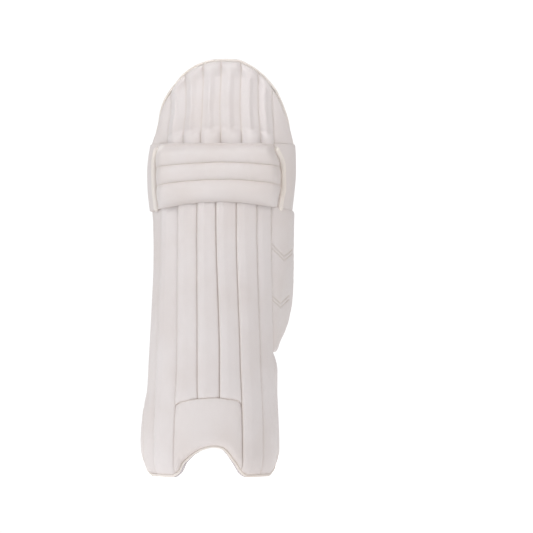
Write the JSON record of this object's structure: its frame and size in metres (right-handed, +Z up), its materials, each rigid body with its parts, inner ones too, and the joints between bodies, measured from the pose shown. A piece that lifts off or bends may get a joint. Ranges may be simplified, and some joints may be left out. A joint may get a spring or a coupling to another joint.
{
  "type": "batting pad",
  "caption": "Padded leg guard with a ribbed shin, rolled knee and domed thigh flap, strapped round the calf and standing on its foot lobes.",
  "frame": {"origin": "middle of the outline at the floor, where the two foot lobes stand", "axes": "+Z up along the leg, -Y out of the front face, +X towards the outer side of the left leg"},
  "size_m": [0.27, 0.1892, 0.7199],
  "materials": {
    "cover": "soft satin",
    "rib": "soft satin",
    "trim": "satin",
    "lining": "matt",
    "check": "matt",
    "strap": "matt",
    "tab": "satin"
  },
  "bodies": {
    "root": {"shin_backing": "lining", "shin_bolster_1": "rib", "shin_bolster_2": "rib", "shin_bolster_3": "rib", "shin_bolster_4": "rib", "shin_bolster_5": "rib", "shin_bolster_6": "rib", "shin_side_inner": "cover", "shin_side_outer": "cover", "instep_panel": "cover", "outer_wing": "cover", "knee_backing": "lining", "knee_roll_lower": "cover", "knee_roll_middle": "cover", "knee_roll_upper": "cover", "knee_ear_inner": "cover", "knee_ear_outer": "cover", "top_hat_backing": "lining", "top_hat_bolster_1": "rib", "top_hat_bolster_2": "rib", "top_hat_bolster_3": "rib", "top_hat_bolster_4": "rib", "top_hat_bolster_5": "rib", "top_hat_bolster_6": "rib", "top_hat_side": "cover", "top_hat_wing": "cover", "top_hat_lining": "lining", "top_hat_piping": "trim", "base_piping": "trim", "shin_lining_centre": "lining", "shin_lining_inner": "check", "shin_lining_outer": "check", "instep_lining": "cover", "lobe_lining_inner": "cover", "lobe_lining_outer": "cover", "knee_cradle_centre": "lining", "knee_cradle_inner": "lining", "knee_cradle_outer": "lining", "knee_band": "cover", "knee_strap": "strap", "knee_strap_badge": "tab", "calf_strap": "strap", "calf_strap_tab": "tab", "ankle_strap": "strap", "ankle_strap_base": "strap", "ankle_strap_badge": "tab"}
  },
  "joints": []
}
